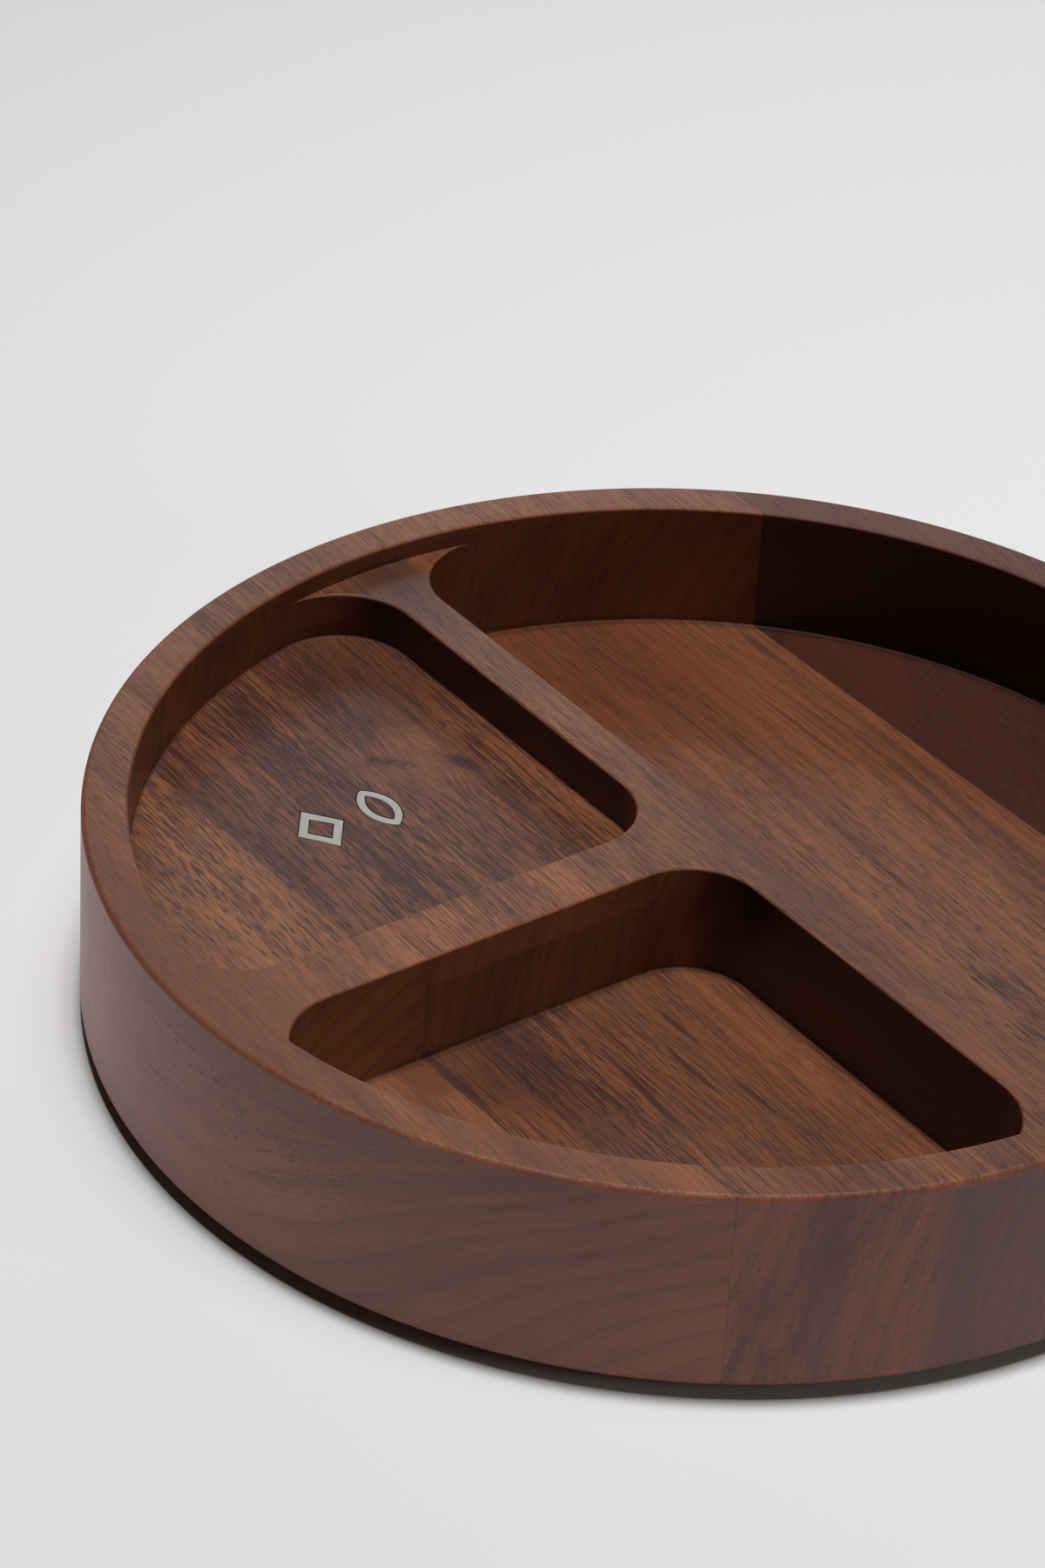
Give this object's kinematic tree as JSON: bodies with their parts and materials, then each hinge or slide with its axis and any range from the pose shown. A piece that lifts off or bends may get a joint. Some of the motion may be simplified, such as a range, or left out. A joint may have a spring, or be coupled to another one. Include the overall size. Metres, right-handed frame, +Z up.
{
  "type": "jewelry tray",
  "caption": "Round walnut catchall tray with a raised rim, rounded compartments divided by ribs, flush metal inlays and rubber feet.",
  "frame": {"origin": "centre of the round body in plan, at the level of the feet's undersides, which rest on the table", "axes": "+Z up; +X along the long rib, towards the deep front pocket's end of it; +Y across the long rib towards the large compartment, away from the short rib"},
  "size_m": [0.254, 0.254, 0.048],
  "materials": {
    "front_walnut": "oiled satin walnut, lighter tan board",
    "centre_walnut": "oiled satin walnut, middle brown board",
    "back_walnut": "oiled satin walnut, dark brown board",
    "brushed_steel": "fine brushed, satin",
    "black_rubber": "matte"
  },
  "bodies": {
    "root": {"front_stave": "front_walnut", "centre_stave": "centre_walnut", "back_stave": "back_walnut", "lozenge_inlay": "brushed_steel", "leaf_inlay": "brushed_steel", "foot_front_left": "black_rubber", "foot_front_right": "black_rubber", "foot_back_left": "black_rubber", "foot_back_right": "black_rubber"}
  },
  "joints": []
}
